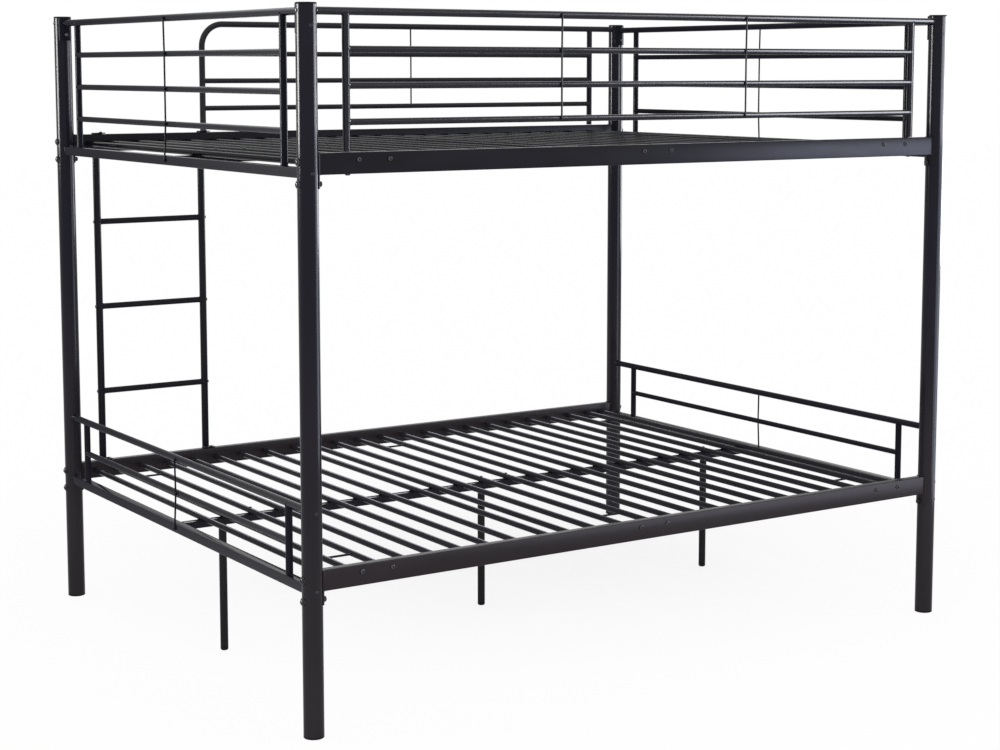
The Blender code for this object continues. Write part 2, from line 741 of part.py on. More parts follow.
posts = new_group("posts", (0, 0, 0))
levels = {level: new_group(f"{level}_bed", (0, 0, rail_top)) for level, rail_top in LEVELS.items()}
ladder = new_group("ladder", ((LADDER_LEFT + LADDER_RIGHT) / 2, LADDER_Y, LADDER_FOOT))

post_clearance = make_cutter("post_clearance", drums(post_spans(), POST_RADIUS + CLEARANCE, POST_SIDES))
post_bores = make_cutter("post_bores", drums(post_spans(), POST_RADIUS - POST_WALL, POST_SIDES))
bolt_clearance = make_bolt_clearance()
slat_sockets = make_slat_sockets()

make_posts()
make_side_rails()
make_rail_bolts()
make_end_panels()
make_front_guard()
make_back_guard()
for bed_level in LEVELS:
    make_slat_deck(bed_level)
make_cross_frames()
make_legs()
make_ladder()
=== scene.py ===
# A double bunk bed in black steel tube, dressed for its photograph. Lengths are in metres.
import json
import math
import bmesh
import bpy
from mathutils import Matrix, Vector

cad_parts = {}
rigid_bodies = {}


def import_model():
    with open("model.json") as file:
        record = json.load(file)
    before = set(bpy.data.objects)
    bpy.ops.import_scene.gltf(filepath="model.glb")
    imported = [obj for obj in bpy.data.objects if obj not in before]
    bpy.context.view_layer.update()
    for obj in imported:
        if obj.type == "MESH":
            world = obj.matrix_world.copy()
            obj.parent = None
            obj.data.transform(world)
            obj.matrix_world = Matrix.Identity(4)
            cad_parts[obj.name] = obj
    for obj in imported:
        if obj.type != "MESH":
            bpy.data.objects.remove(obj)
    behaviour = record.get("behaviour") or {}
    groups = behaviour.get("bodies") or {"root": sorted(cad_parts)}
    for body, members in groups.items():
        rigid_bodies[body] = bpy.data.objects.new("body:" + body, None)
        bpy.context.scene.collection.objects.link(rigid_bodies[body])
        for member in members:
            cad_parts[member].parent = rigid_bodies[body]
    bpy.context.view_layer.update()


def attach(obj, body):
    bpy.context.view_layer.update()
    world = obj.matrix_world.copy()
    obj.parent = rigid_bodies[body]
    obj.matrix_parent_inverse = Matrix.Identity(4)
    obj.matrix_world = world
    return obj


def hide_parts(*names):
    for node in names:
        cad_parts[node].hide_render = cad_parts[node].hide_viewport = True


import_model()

# Corner posts. Four lengths of 51 mm round steel tube stand the full height of the bed, and the
# rails, panels and guards all bolt to them. They are powder coated in a smooth, glossy black.
POST_X = 1.0245
POST_Y = 0.782
POST_RADIUS = 0.0255
POST_FOOT = 0.0043
POST_TOP = 1.7607
POST_EDGE = 0.0005
POST_BLACK = (0.0115, 0.0105, 0.0178)
# Painted light: the lower half of each post is painted lighter, standing in for the pale floor's
# light.
POST_PAINTED_LIGHT_LOW = (0.0262, 0.0228, 0.0275)
POST_ROUGHNESS = 0.12
# Heights over which the painted light on the lower parts fades out.
PAINTED_LIGHT_BELOW, PAINTED_LIGHT_GONE_ABOVE = 0.3, 1.05
CLOUD_SCALE, CLOUD_DETAIL, CLOUD_RAMP = 4.0, 3, (0.35, 0.7)
CLOUD_DARK, CLOUD_LIGHT, DUST = 0.9, 1.12, 0.0004
GLOSS_SCALE, GLOSS_DETAIL, GLOSS_RAMP = 9.0, 4, (0.3, 0.72)
GLOSS_SMOOTH, GLOSS_DULL = 0.88, 1.16
PEEL_SCALE, PEEL_DETAIL, PEEL_DEPTH = 420.0, 2, 0.0002
SHARP_EDGE = math.radians(34)
SIDES = {"left": -1, "right": 1}
FACES = {"front": -1, "back": 1}
CORNERS = [(f"{face}_{side}", SIDES[side], FACES[face]) for face in FACES for side in SIDES]
UPWARDS = Vector((0, 0, 1))


def powder_coat(name, colour, roughness, peel=0.04, peel_scale=PEEL_SCALE, streaks=(1, 1, 1),
                low=None, shine=0.1, metal=0.0):
    """Baked powder paint, with a faint orange peel, small changes of gloss and a thin cloud of
    settled dust. Lower down it blends into the low colour: painted light from the pale floor."""
    coat = bpy.data.materials.new(name)
    coat.use_nodes = True
    nodes, links = coat.node_tree.nodes, coat.node_tree.links
    shader = nodes["Principled BSDF"]
    shader.inputs["Specular IOR Level"].default_value = shine
    shader.inputs["Metallic"].default_value = metal
    place = nodes.new("ShaderNodeTexCoord").outputs["Object"]
    stretch = nodes.new("ShaderNodeMapping")
    stretch.inputs["Scale"].default_value = streaks
    links.new(place, stretch.inputs["Vector"])
    stretched = stretch.outputs["Vector"]

    def noise(scale, detail, source):
        grain = nodes.new("ShaderNodeTexNoise")
        grain.inputs["Scale"].default_value = scale
        grain.inputs["Detail"].default_value = detail
        links.new(source, grain.inputs["Vector"])
        return grain.outputs["Fac"]

    def ramp(fac, start, end, dark, light):
        step = nodes.new("ShaderNodeValToRGB")
        step.color_ramp.elements[0].position = start
        step.color_ramp.elements[1].position = end
        step.color_ramp.elements[0].color = (*dark, 1)
        step.color_ramp.elements[1].color = (*light, 1)
        links.new(fac, step.inputs["Fac"])
        return step.outputs["Color"]

    def cloudy(colour):
        darker = [CLOUD_DARK * part for part in colour]
        lighter = [CLOUD_LIGHT * part + DUST for part in colour]
        cloud = noise(CLOUD_SCALE, CLOUD_DETAIL, stretched)
        return ramp(cloud, *CLOUD_RAMP, darker, lighter)

    # Painted light: below a height the base colour blends into the lighter low colour, standing in
    # for the pale floor's light on the lower parts.
    level = nodes.new("ShaderNodeMapRange")
    level.inputs["From Min"].default_value = PAINTED_LIGHT_BELOW
    level.inputs["From Max"].default_value = PAINTED_LIGHT_GONE_ABOVE
    height = nodes.new("ShaderNodeSeparateXYZ")
    links.new(place, height.inputs["Vector"])
    links.new(height.outputs["Z"], level.inputs["Value"])
    painted_light_mix = nodes.new("ShaderNodeMix")
    painted_light_mix.data_type = "RGBA"
    links.new(level.outputs["Result"], painted_light_mix.inputs["Factor"])
    links.new(cloudy(low or colour), painted_light_mix.inputs["A"])
    links.new(cloudy(colour), painted_light_mix.inputs["B"])
    links.new(painted_light_mix.outputs["Result"], shader.inputs["Base Color"])
    smooth, dull = [(roughness * share,) * 3 for share in (GLOSS_SMOOTH, GLOSS_DULL)]
    gloss = ramp(noise(GLOSS_SCALE, GLOSS_DETAIL, stretched), *GLOSS_RAMP, smooth, dull)
    links.new(gloss, shader.inputs["Roughness"])
    skin_bump = nodes.new("ShaderNodeBump")
    skin_bump.inputs["Strength"].default_value = peel
    skin_bump.inputs["Distance"].default_value = PEEL_DEPTH
    links.new(noise(peel_scale, PEEL_DETAIL, place), skin_bump.inputs["Height"])
    links.new(skin_bump.outputs["Normal"], shader.inputs["Normal"])
    return coat


def circle(radius, sides):
    turns = [2 * math.pi * step / sides for step in range(sides)]
    return [(radius * math.cos(turn), radius * math.sin(turn)) for turn in turns]


def ring(centre, section, along):
    """The points of a flat section, set square across a direction."""
    along = Vector(along).normalized()
    side = Vector((0, 1, 0)) if abs(along.y) < 0.7 else Vector((1, 0, 0))
    side = (side - along * side.dot(along)).normalized()
    up = along.cross(side)
    return [Vector(centre) + side * a + up * b for a, b in section]


def skin(shape, rows):
    """Skins rows of points into one closed body."""
    rings = [[shape.verts.new(point) for point in row] for row in rows]
    for low, high in zip(rings, rings[1:]):
        for step in range(len(low)):
            shape.faces.new((low[step - 1], low[step], high[step], high[step - 1]))
    shape.faces.new(rings[0])
    shape.faces.new(rings[-1])


def stacked(shape, seat, along, sections):
    """Sections skinned one above another along an axis. Each comes with its height on it."""
    along = Vector(along).normalized()
    skin(shape, [ring(Vector(seat) + along * height, section, along)
                 for height, section in sections])


def turned(shape, place, profile, sides=32):
    """An upright lathe-turned body. The profile gives the height and the radius of each ring."""
    stacked(shape, place, UPWARDS, [(height, circle(radius, sides)) for height, radius in profile])


def made(name, shape, finish, coat, *nodes):
    """Turns a finished shape into a piece that stands for its CAD nodes."""
    bmesh.ops.recalc_face_normals(shape, faces=shape.faces)
    mesh = bpy.data.meshes.new(name)
    shape.to_mesh(mesh)
    shape.free()
    mesh.materials.append(finish)
    mesh.shade_smooth()
    mesh.set_sharp_from_angle(angle=SHARP_EDGE)
    piece = bpy.data.objects.new(name, mesh)
    bpy.context.scene.collection.objects.link(piece)
    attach(piece, "root")
    if nodes:
        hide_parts(*nodes)


post_black = powder_coat("post powder coat", POST_BLACK, POST_ROUGHNESS, streaks=(3, 3, 0.7),
                         low=POST_PAINTED_LIGHT_LOW)
post_profile = [(POST_FOOT, POST_RADIUS - POST_EDGE), (POST_FOOT + POST_EDGE, POST_RADIUS),
                (POST_TOP - POST_EDGE, POST_RADIUS), (POST_TOP, POST_RADIUS - POST_EDGE)]
for corner, x_way, y_way in CORNERS:
    shape = bmesh.new()
    turned(shape, (x_way * POST_X, y_way * POST_Y, 0), post_profile, sides=64)
    made(f"corner_post_{corner}", shape, post_black, "post_coat", f"post_{corner}")


# Post caps and foot glides. Moulded black plastic plugs, pushed into the two ends of each post by
# hand. Both are nearly flat with a rounded rim. GAP is the air between two pieces that meet.
CAP_TOP = 1.765
CAP_RIM = 0.002
CAP_SHOULDER = 0.0003
CAP_CROWN = ((0.0001, 0.013), (0, 0.002))
GLIDE_RIM = 0.002
PLUG_REACH = 0.006
PLUG_WALL = 0.002
GAP = 0.0003
CAP_BLACK = (0.010, 0.010, 0.011)
CAP_ROUGHNESS = 0.3
GLIDE_BLACK = (0.011, 0.010, 0.012)
GLIDE_ROUGHNESS = 0.36
GRAIN = 0.2
GRAIN_SCALE = 1500


def moulded_plastic(name, colour, roughness):
    """Black polyamide. It is made as the paint is, with a finer and stronger grain."""
    return powder_coat(name, colour, roughness, peel=GRAIN, peel_scale=GRAIN_SCALE)


def rounding(radius, rim, steps=6):
    """Quarter of a round edge, from the full radius inwards, as pairs of rise and radius."""
    turns = [math.pi / 2 * step / steps for step in range(steps + 1)]
    return [(rim * math.sin(turn), radius - rim + rim * math.cos(turn)) for turn in turns]


cap_black = moulded_plastic("cap plastic", CAP_BLACK, CAP_ROUGHNESS)
glide_black = moulded_plastic("glide plastic", GLIDE_BLACK, GLIDE_ROUGHNESS)
bore = POST_RADIUS - PLUG_WALL
cap_profile = [(POST_TOP - PLUG_REACH, bore), (POST_TOP + GAP, bore),
               (POST_TOP + GAP, POST_RADIUS - GAP), (POST_TOP + 2 * GAP, POST_RADIUS)]
for rise, radius in rounding(POST_RADIUS, CAP_RIM):
    cap_profile.append((CAP_TOP - CAP_RIM - CAP_SHOULDER + rise, radius))
cap_profile += [(CAP_TOP - drop, radius) for drop, radius in CAP_CROWN]
glide_profile = [(GLIDE_RIM - rise, radius)
                 for rise, radius in reversed(rounding(POST_RADIUS, GLIDE_RIM))]
glide_profile += [(POST_FOOT - 2 * GAP, POST_RADIUS), (POST_FOOT - GAP, POST_RADIUS - GAP),
                  (POST_FOOT - GAP, bore), (POST_FOOT + PLUG_REACH, bore)]
for corner, x_way, y_way in CORNERS:
    foot = (x_way * POST_X, y_way * POST_Y, 0)
    shape = bmesh.new()
    turned(shape, foot, cap_profile, sides=64)
    made(f"post_end_cap_{corner}", shape, cap_black, "cap_plastic", f"post_cap_{corner}")
    shape = bmesh.new()
    turned(shape, foot, glide_profile, sides=64)
    made(f"post_foot_glide_{corner}", shape, glide_black, "glide_plastic", f"foot_glide_{corner}")


# Side rails. Rectangular steel tube runs along each long side of both beds. A curved steel saddle
# is welded to each end and wraps the post, and its part below the rail takes the second bolt.
RAIL_TOPS = {"upper": 1.415, "lower": 0.4135}
RAIL_DEPTH = 0.025
RAIL_HEIGHT = 0.0525
RAIL_SINK = 0.0007
RAIL_BLACK = (0.0100, 0.0092, 0.0140)
# Painted light: the lower rails are painted lighter and warmer, standing in for the pale floor's
# light.
RAIL_PAINTED_LIGHT_LOW = (0.0245, 0.0190, 0.0220)
RAIL_ROUGHNESS = 0.25
SADDLE_OUTSIDE = POST_RADIUS + 0.0033
SADDLE_THICKNESS = 0.003
SADDLE_HEIGHT = 0.085
SADDLE_WRAP = math.radians(40)
SADDLE_EDGE = 0.0004
ROUND_SADDLE = (UPWARDS, SADDLE_OUTSIDE)
# The rings of a tube's end: how far in each lies from the end, and how much it is thicker there.
WELDED_END = ((-0.0004, 0.0012), (0.0004, 0.0012), (0.0014, 0.0005), (0.003, 0.0))
PLAIN_END = ((0.0, -0.0004), (0.0004, 0.0))


def rounded_bar(width, height, radius=0.002, steps=4):
    """Section of a rectangular tube with its rolled corners."""
    points = []
    for turn, a, b in ((0, 1, 1), (1, -1, 1), (2, -1, -1), (3, 1, -1)):
        for step in range(steps + 1):
            angle = math.pi / 2 * (turn + step / steps)
            points.append((a * (width / 2 - radius) + radius * math.cos(angle),
                           b * (height / 2 - radius) + radius * math.sin(angle)))
    return points


def member(shape, section, path, hosts=(None, None), bead=1.0):
    """A length of tube or bar along a path. A host is the axis and radius of what an end is
    welded to: that end is cut to fit round it and gets a small weld bead. One without an axis
    is flat, and its number is how far off it lies."""
    path = [Vector(point) for point in path]
    ends = []
    for place, forward, way, host in (
        (path[0], path[1] - path[0], 1, hosts[0]),
        (path[-1], path[-1] - path[-2], -1, hosts[1]),
    ):
        forward.normalize()
        rows = []
        for back, grow in WELDED_END if host else PLAIN_END:
            grown = []
            for a, b in section:
                share = 1 + grow * bead / math.hypot(a, b)
                grown.append((a * share, b * share))
            row = []
            for point in ring(place, grown, forward):
                depth = 0
                if host:
                    axis, radius = host
                    aside = (point - place).dot(forward.cross(axis)) if axis else 0
                    depth = math.sqrt(max(radius ** 2 - aside ** 2, 0))
                row.append(point + forward * way * (depth + back * bead))
            rows.append(row)
        ends.append(rows)
    bends = [ring(path[i], section, path[i + 1] - path[i - 1]) for i in range(1, len(path) - 1)]
    skin(shape, ends[0] + bends + ends[1][::-1])


def saddle(shape, centre, way, bottom, top, steps=14):
    """A curved plate round a post, open on one side and with rounded ends."""
    half = SADDLE_THICKNESS / 2
    outline = []
    for radius, sign in ((SADDLE_OUTSIDE, 1), (SADDLE_OUTSIDE - SADDLE_THICKNESS, -1)):
        for step in range(steps + 1):
            outline.append((radius, sign * SADDLE_WRAP * (2 * step / steps - 1)))
        for turn in (math.radians(60), math.radians(90), math.radians(120)):
            middle = SADDLE_OUTSIDE - half + math.cos(turn) * sign * half
            outline.append((middle, sign * (SADDLE_WRAP + half * math.sin(turn) / SADDLE_OUTSIDE)))
    rows = []
    for height, shrink in ((bottom, SADDLE_EDGE), (bottom + SADDLE_EDGE, 0),
                           (top - SADDLE_EDGE, 0), (top, SADDLE_EDGE)):
        row = []
        for radius, turn in outline:
            ahead, aside = [(radius - shrink) * part for part in (math.cos(turn), math.sin(turn))]
            row.append((centre[0] + way[0] * ahead + way[1] * aside,
                        centre[1] + way[1] * ahead + way[0] * aside, height))
        rows.append(row)
    skin(shape, rows)


rail_black = powder_coat("rail powder coat", RAIL_BLACK, RAIL_ROUGHNESS, streaks=(0.8, 3, 3),
                         low=RAIL_PAINTED_LIGHT_LOW)
rail_section = rounded_bar(RAIL_DEPTH, RAIL_HEIGHT - RAIL_SINK)
for level, rail_top in RAIL_TOPS.items():
    for face, y_way in FACES.items():
        shape = bmesh.new()
        middle = rail_top - RAIL_HEIGHT / 2 - RAIL_SINK
        ends = [(x_way * POST_X, y_way * POST_Y, middle) for x_way in SIDES.values()]
        member(shape, rail_section, ends, (ROUND_SADDLE, ROUND_SADDLE))
        for x_way in SIDES.values():
            post = (x_way * POST_X, y_way * POST_Y)
            saddle(shape, post, (-x_way, 0), rail_top - SADDLE_HEIGHT, rail_top)
        made(f"side_rail_{level}_{face}", shape, rail_black, "rail_coat", f"{level}_rail_{face}")


# Rail bolts. Two socket bolts of blackened steel, with formed washers, go through each post into
# each rail end. The upper one is held in the rail, and the lower one has a nut behind the saddle.
BOLT_DROPS = {"high": 0.022, "low": 0.0745}
BOLT_BLACK = (0.045, 0.045, 0.050)
BOLT_ROUGHNESS = 0.3
BOLT_METAL = 0.85
BOLT_PEEL = 0.05
WASHER = (0.01, 0.003, 0.0025)
WASHER_EDGE = 0.0004
# A head is its radius and height, and a nut its width, its thickness and the bolt's reach past it.
BOLT_HEAD = (0.007, 0.0035)
BOLT_NUT = (0.013, 0.006, 0.0018)
BOLT_END = (0.0042, 0.0036)
NUT_CHAMFERS = (0.0007, 0.0008)
# Rings of a head's dome and of its socket, as shares of its height and of its radius.
HEAD_DOME = ((0.15, 1), (0.5, 0.94), (0.8, 0.8), (1, 0.6))
HEAD_SOCKET = ((1, 0.46), (0.3, 0.44))
HEAD_SINK = 0.0008
FINE = 24


def hexagon(radius):
    """A hexagon with as many points as a circle, so that the two can be skinned together."""
    points = []
    for step in range(FINE):
        turn = 2 * math.pi * step / FINE
        reach = radius * math.cos(math.pi / 6) / math.cos(turn % (math.pi / 3) - math.pi / 6)
        points.append((reach * math.cos(turn), reach * math.sin(turn)))
    return points


def button_head(shape, seat, along, radius, height):
    """Round bolt head with a six-sided socket."""
    dome = [(rise * height, circle(share * radius, FINE)) for rise, share in HEAD_DOME]
    socket = [(rise * height, hexagon(share * radius)) for rise, share in HEAD_SOCKET]
    stacked(shape, seat, along, [(-HEAD_SINK, circle(radius, FINE))] + dome + socket)


def washer(shape, seat, along, radius, inside, thickness):
    """A formed washer. It reaches far enough in to close on the round post."""
    full = circle(radius, FINE)
    stacked(shape, seat, along, [(-inside, full), (thickness - WASHER_EDGE, full),
                                 (thickness, circle(radius - WASHER_EDGE, FINE))])


def nut(shape, seat, along, across, thickness, reach):
    """A hexagon nut with chamfered faces, and the end of its bolt."""
    face, body = circle(across / 2, FINE), hexagon(across / math.sqrt(3))
    thread, tip = [circle(radius, FINE) for radius in BOLT_END]
    stacked(shape, seat, along, [
        (-GAP, face), (NUT_CHAMFERS[0], body), (thickness - NUT_CHAMFERS[1], body),
        (thickness, face), (thickness, thread), (thickness + reach, tip),
    ])


bolt_black = powder_coat("blackened bolt steel", BOLT_BLACK, BOLT_ROUGHNESS, peel=BOLT_PEEL,
                         metal=BOLT_METAL)
for level, rail_top in RAIL_TOPS.items():
    for corner, x_way, y_way in CORNERS:
        for kind, drop in BOLT_DROPS.items():
            shape = bmesh.new()
            axis = Vector((x_way * POST_X, y_way * POST_Y, rail_top - drop))
            out = Vector((x_way, 0, 0))
            washer(shape, axis + out * POST_RADIUS, out, *WASHER)
            button_head(shape, axis + out * (POST_RADIUS + WASHER[2]), out, *BOLT_HEAD)
            if kind == "low":
                nut(shape, axis - out * (SADDLE_OUTSIDE + GAP), -out, *BOLT_NUT)
            node = f"{level}_rail_bolt_{corner}_{kind}"
            made(f"rail_bolt_{level}_{corner}_{kind}", shape, bolt_black, "bolt_steel", node)


# End panels. A round steel top rail, two uprights and the bars between them are welded to a square
# bottom rail. A thin wire ties the bars, and the upper panels have curved tabs under the top rail.
PANEL_BLACK = (0.0095, 0.0092, 0.0160)
# Painted light: the lower end panels are painted lighter, standing in for the pale floor's light.
PANEL_PAINTED_LIGHT_LOW = (0.0165, 0.0145, 0.0215)
PANEL_ROUGHNESS = 0.13
PANEL_SHINE = 0.035
PANEL_TOPS = {"upper": 1.745, "lower": 0.556}
PANEL_BARS = {"upper": (1.6504, 1.5569, 1.4634), "lower": (0.4611,)}
PANEL_WIRES = {"upper": 0.014, "lower": -0.006}
BOTTOM_RAIL_DROP = 0.0485
BOTTOM_RAIL_SIDE = 0.025
BOTTOM_RAIL_BEAD = 0.3
UPRIGHT_PLACE = 0.662
TOP_RAIL, UPRIGHT, BAR, WIRE = 0.0095, 0.0093, 0.008, 0.0025
WIRE_SINK = 0.0007
WIRE_TACK = ((-0.0035, 0.0026), (-0.0015, 0.0036), (0.0015, 0.0036), (0.0035, 0.0026))
TAB_HEIGHT = 0.068
TAB_RISE = 0.0165
ALONG = Vector((1, 0, 0))
ACROSS = Vector((0, 1, 0))
POST_SIDE = (UPWARDS, POST_RADIUS + GAP)
UPRIGHT_SIDE = (UPWARDS, UPRIGHT)


def round_tube(shape, radius, path, hosts=(None, None), sides=24, bead=1.0):
    member(shape, circle(radius, sides), path, hosts, bead)


def tie_wire(shape, centre, way, bars):
    """Thin wire tacked to one side of the bars that it passes, each given by its half width and
    its height."""
    places = []
    for half, height in bars:
        aside = half + WIRE - WIRE_SINK
        places.append((centre[0] + way[0] * aside, centre[1] + way[1] * aside, height))
    round_tube(shape, WIRE, places, sides=12)
    for place in places:
        stacked(shape, place, UPWARDS, [(rise, circle(radius, 12)) for rise, radius in WIRE_TACK])


panel_black = powder_coat("panel powder coat", PANEL_BLACK, PANEL_ROUGHNESS, streaks=(3, 0.8, 3),
                          low=PANEL_PAINTED_LIGHT_LOW, shine=PANEL_SHINE)
square = rounded_bar(BOTTOM_RAIL_SIDE, BOTTOM_RAIL_SIDE)
half = BOTTOM_RAIL_SIDE / 2
for level, top in PANEL_TOPS.items():
    for side, x_way in SIDES.items():
        shape = bmesh.new()
        x = x_way * POST_X
        bottom = RAIL_TOPS[level] - BOTTOM_RAIL_DROP
        bars = PANEL_BARS[level]
        round_tube(shape, TOP_RAIL, [(x, -POST_Y, top), (x, POST_Y, top)], (POST_SIDE, POST_SIDE))
        member(shape, square, [(x, -POST_Y, bottom), (x, POST_Y, bottom)],
               (POST_SIDE, POST_SIDE), BOTTOM_RAIL_BEAD)
        for y in (-UPRIGHT_PLACE, UPRIGHT_PLACE):
            round_tube(shape, UPRIGHT, [(x, y, bottom), (x, y, top)],
                       ((None, half), (ACROSS, TOP_RAIL)))
        for height in bars:
            round_tube(shape, BAR, [(x, -UPRIGHT_PLACE, height), (x, UPRIGHT_PLACE, height)],
                       (UPRIGHT_SIDE, UPRIGHT_SIDE))
        passed = [(TOP_RAIL, top)] + [(BAR, height) for height in bars] + [(half, bottom)]
        tie_wire(shape, (x, PANEL_WIRES[level]), (x_way, 0), passed)
        if level == "upper":
            tab_top = top + TAB_RISE
            for y_way in FACES.values():
                saddle(shape, (x, y_way * POST_Y), (0, -y_way), tab_top - TAB_HEIGHT, tab_top)
        node = f"{level}_end_panel_{side}"
        made(f"end_panel_{level}_{side}", shape, panel_black, "panel_coat", node)


# Front guard. The steel top rail runs from post to post, and two uprights carry three bars and two
# tie wires. It is welded up in one frame, and each upright is bolted to the side rail from below.
GUARD_BLACK = (0.0040, 0.0038, 0.0100)
GUARD_ROUGHNESS = 0.15
GUARD_SHINE = 0.3
GUARD_FLOOR = RAIL_TOPS["upper"] + GAP
FRONT_TOP = 1.7455
FRONT_BARS = (1.6569, 1.5710, 1.4851)
FRONT_UPRIGHTS = (-0.92, 0.92)
FRONT_WIRES = (-0.305, 0.299)

guard_black = powder_coat("guard powder coat", GUARD_BLACK, GUARD_ROUGHNESS, streaks=(0.8, 3, 3),
                          shine=GUARD_SHINE)
shape = bmesh.new()
y = -POST_Y
round_tube(shape, TOP_RAIL, [(-POST_X, y, FRONT_TOP), (POST_X, y, FRONT_TOP)],
           (POST_SIDE, POST_SIDE))
for x in FRONT_UPRIGHTS:
    round_tube(shape, UPRIGHT, [(x, y, GUARD_FLOOR), (x, y, FRONT_TOP)],
               (None, (ALONG, TOP_RAIL)))
for height in FRONT_BARS:
    round_tube(shape, BAR, [(x, y, height) for x in FRONT_UPRIGHTS], (UPRIGHT_SIDE, UPRIGHT_SIDE))
for x in FRONT_WIRES:
    passed = [(TOP_RAIL, FRONT_TOP)] + [(BAR, height) for height in FRONT_BARS]
    tie_wire(shape, (x, y), (0, -1), passed)
made("guard_frame_front", shape, guard_black, "guard_coat", "guard_front")


# Back guard. One steel tube starts on the ladder's hook plate, bends over and runs on to the right
# post, with bars welded under it. It leaves a gap at the left, where the sleeper climbs in.
BACK_TOP = 1.749
BACK_BARS = (1.6570, 1.5730, 1.4880)
BACK_START = -0.574
BACK_END = 0.909
BACK_BEND = 0.07
BACK_WIRE = 0.186
BACK_SEAT = RAIL_TOPS["upper"] + 0.0036
BACK_WELD = 0.0004
BEND_STEPS = 12

shape = bmesh.new()
y = POST_Y
bent = [(BACK_START, y, BACK_SEAT)]
for step in range(BEND_STEPS + 1):
    turn = math.pi / 2 * step / BEND_STEPS
    bent.append((BACK_START + BACK_BEND * (1 - math.cos(turn)), y,
                 BACK_TOP - BACK_BEND * (1 - math.sin(turn))))
round_tube(shape, TOP_RAIL, bent + [(POST_X, y, BACK_TOP)], ((None, BACK_WELD), POST_SIDE))
round_tube(shape, UPRIGHT, [(BACK_END, y, GUARD_FLOOR), (BACK_END, y, BACK_TOP)],
           (None, (ALONG, TOP_RAIL)))
for height in BACK_BARS:
    round_tube(shape, BAR, [(BACK_START, y, height), (BACK_END, y, height)],
               ((UPWARDS, TOP_RAIL), UPRIGHT_SIDE))
passed = [(TOP_RAIL, BACK_TOP)] + [(BAR, height) for height in BACK_BARS]
tie_wire(shape, (BACK_WIRE, y), (0, 1), passed)
made("guard_frame_back", shape, guard_black, "guard_coat", "guard_back")


# Slatted bases. Round steel slats are welded across one centre beam, and their ends push into
# holes in the side rails. One slat of the lower bed sits a little to the right of its place.
SLAT_BLACK = (0.0085, 0.0082, 0.0118)
# Painted light: the lower bed's slats are painted lighter, standing in for the pale floor's light.
SLAT_PAINTED_LIGHT_LOW = (0.0255, 0.0235, 0.0295)
SLAT_ROUGHNESS = 0.13
SLAT_SHINE = 0.03
SLAT = 0.008
SLAT_STEP = 0.085
SLAT_STEPS = 11
SLAT_MIDDLE = 0.044
SLAT_LAST = 0.957
SLAT_SINK = 0.001
SLAT_PUSH = 0.001
PAIRED_STEPS = (0, 9, 10)
STRAY_STEP = 3
STRAY_SHIFT = 0.019
BEAM_DROP = 0.036
BEAM_WIDTH = 0.025
BEAM_HEIGHT = 0.02
FILLET = 0.0016
FILLET_REACH = 0.006
FILLET_SINK = 0.0005
FILLET_POINTS = (-1, -0.4, 0.4, 1)
RAIL_INSIDE = POST_Y - RAIL_DEPTH / 2


def single_slats(level):
    """Where the slats lie along the bed that are not in pairs."""
    steps = [step for step in range(SLAT_STEPS) if step not in PAIRED_STEPS]
    right = [SLAT_MIDDLE + SLAT_STEP * step for step in steps] + [SLAT_LAST]
    left = [-place for place in right]
    if level == "lower":
        left[steps.index(STRAY_STEP)] += STRAY_SHIFT
    return left + right


slat_black = powder_coat("slat powder coat", SLAT_BLACK, SLAT_ROUGHNESS, streaks=(3, 0.8, 3),
                         low=SLAT_PAINTED_LIGHT_LOW, shine=SLAT_SHINE)
for level, rail_top in RAIL_TOPS.items():
    shape = bmesh.new()
    seat = rail_top - BEAM_DROP
    reach = POST_X - BOTTOM_RAIL_SIDE / 2 - GAP
    middle = seat - BEAM_HEIGHT / 2
    member(shape, rounded_bar(BEAM_WIDTH, BEAM_HEIGHT), [(-reach, 0, middle), (reach, 0, middle)])
    height = seat + SLAT - SLAT_SINK
    end = RAIL_INSIDE + SLAT_PUSH
    for x in single_slats(level):
        round_tube(shape, SLAT, [(x, -end, height), (x, end, height)], sides=20)
        for y_way in FACES.values():
            y = y_way * BEAM_WIDTH / 2
            fillet = [(x + part * FILLET_REACH, y, seat - FILLET_SINK) for part in FILLET_POINTS]
            round_tube(shape, FILLET, fillet, sides=8)
    made(f"slat_base_{level}", shape, slat_black, "slat_coat", f"{level}_slat_deck")


# Cross frames. Three pairs of slats on each bed are joined by short thin steel ties. They lie on
# the beam and are screwed down to it, and a screw through the side rail holds each slat end.
CROSS_FRAMES = {"left": (-0.894, -0.809), "middle": (-0.044, 0.044), "right": (0.809, 0.894)}
TIE = 0.003
TIE_PLACE = 0.595
TIE_BEAD = 0.6
SLAT_SIDE = (ACROSS, SLAT)

for level, rail_top in RAIL_TOPS.items():
    height = rail_top - BEAM_DROP + GAP + SLAT
    for name, pair in CROSS_FRAMES.items():
        shape = bmesh.new()
        for x in pair:
            round_tube(shape, SLAT, [(x, -RAIL_INSIDE, height), (x, RAIL_INSIDE, height)],
                       sides=20)
        for y in (-TIE_PLACE, TIE_PLACE):
            round_tube(shape, TIE, [(x, y, height) for x in pair], (SLAT_SIDE, SLAT_SIDE),
                       sides=12, bead=TIE_BEAD)
        node = f"{level}_cross_frame_{name}"
        made(f"cross_frame_{level}_{name}", shape, slat_black, "slat_coat", node)


# Support legs. Three short steel tubes are welded under the lower beam. Each stands on a plastic
# foot with a round nose, pushed into the tube.
LEG = 0.011
LEG_WALL = 0.0017
LEG_BOTTOM = 0.0123
LEG_TOP = RAIL_TOPS["lower"] - BEAM_DROP - BEAM_HEIGHT - GAP
LEG_PLACES = {"left": -0.894, "middle": -0.044, "right": 0.809}
LEG_BLACK = (0.0160, 0.0150, 0.0180)
LEG_ROUGHNESS = 0.2
FOOT_NOSE = 0.005
FOOT_TOP = 0.0120
FOOT_EDGE = 0.0004
FOOT_PLUG = 0.02

